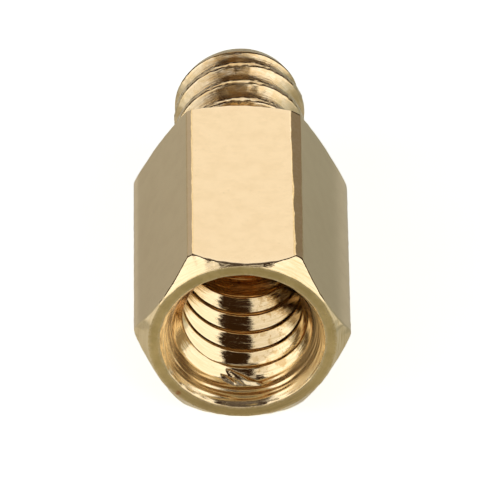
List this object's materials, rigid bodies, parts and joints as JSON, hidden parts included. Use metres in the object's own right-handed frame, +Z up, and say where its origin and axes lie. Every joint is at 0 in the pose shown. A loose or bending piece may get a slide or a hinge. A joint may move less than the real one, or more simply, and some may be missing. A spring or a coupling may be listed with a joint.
{
  "type": "hex standoff",
  "caption": "Brass hexagonal standoff with a countersunk tapped hole in one end and a threaded stud on the other, for holding a board clear of a panel.",
  "frame": {"origin": "under the middle of the standoff, on the surface that its lower flat lies on", "axes": "+Y along the standoff's axis from the open end to the stud, +Z up and square to the flat it lies on, +X across the corners"},
  "size_m": [0.0056, 0.011, 0.005],
  "materials": {
    "brass": "bright turned and drawn metal, lightly worn"
  },
  "bodies": {
    "root": {"hex_standoff": "brass"}
  },
  "joints": []
}
